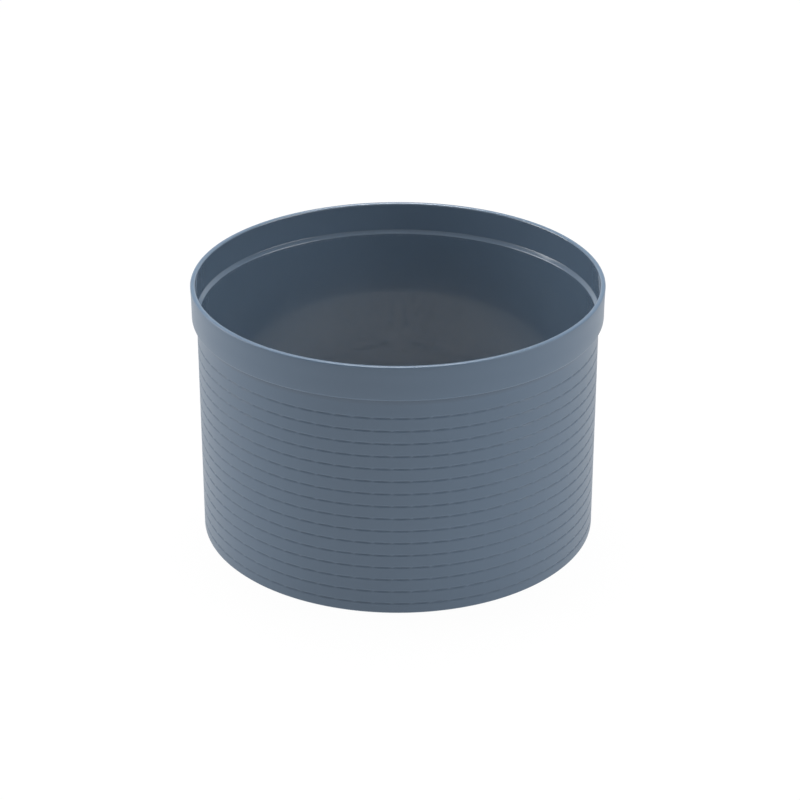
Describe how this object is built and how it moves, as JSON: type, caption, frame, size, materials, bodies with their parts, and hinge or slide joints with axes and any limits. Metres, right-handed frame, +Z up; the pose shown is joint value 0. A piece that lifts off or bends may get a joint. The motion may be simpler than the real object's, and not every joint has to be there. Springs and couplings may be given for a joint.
{
  "type": "round plant pot",
  "caption": "Round straight-sided moulded plant pot with a stepped collar, a wall of level grooves, a slotted drainage grid that lifts out and push-in plugs for its drain holes.",
  "frame": {"origin": "on the ground, under the middle of the pot", "axes": "+Z up along the pot's axis, -Y towards the viewer of the picture, +X to the viewer's right"},
  "size_m": [0.3, 0.3, 0.194],
  "materials": {
    "pot_plastic": "blue-grey moulded plastic, satin with a fine grain",
    "grid_plastic": "pale warm grey plastic, satin",
    "plug_plastic": "soft dark plastic, dull"
  },
  "bodies": {
    "pot": {"pot_wall": "pot_plastic", "pot_floor": "pot_plastic"},
    "drainage_grid": {"drainage_grid": "grid_plastic", "grid_foot_middle": "grid_plastic", "grid_foot_1": "grid_plastic", "grid_foot_2": "grid_plastic", "grid_foot_3": "grid_plastic", "grid_foot_4": "grid_plastic", "grid_foot_5": "grid_plastic", "grid_foot_6": "grid_plastic"},
    "drain_plug_1": {"drain_plug_1": "plug_plastic"},
    "drain_plug_2": {"drain_plug_2": "plug_plastic"},
    "drain_plug_3": {"drain_plug_3": "plug_plastic"},
    "drain_plug_4": {"drain_plug_4": "plug_plastic"}
  },
  "joints": [
    {"name": "grid_lift", "type": "slide", "parent": "pot", "child": "drainage_grid", "axis": [0, 0, 1], "range_m": [0, 0.2]},
    {"name": "plug_pull_1", "type": "slide", "parent": "pot", "child": "drain_plug_1", "axis": [0, 0, 1], "range_m": [0, 0.0072]},
    {"name": "plug_pull_2", "type": "slide", "parent": "pot", "child": "drain_plug_2", "axis": [0, 0, 1], "range_m": [0, 0.0072]},
    {"name": "plug_pull_3", "type": "slide", "parent": "pot", "child": "drain_plug_3", "axis": [0, 0, 1], "range_m": [0, 0.0072]},
    {"name": "plug_pull_4", "type": "slide", "parent": "pot", "child": "drain_plug_4", "axis": [0, 0, 1], "range_m": [0, 0.0072]}
  ]
}
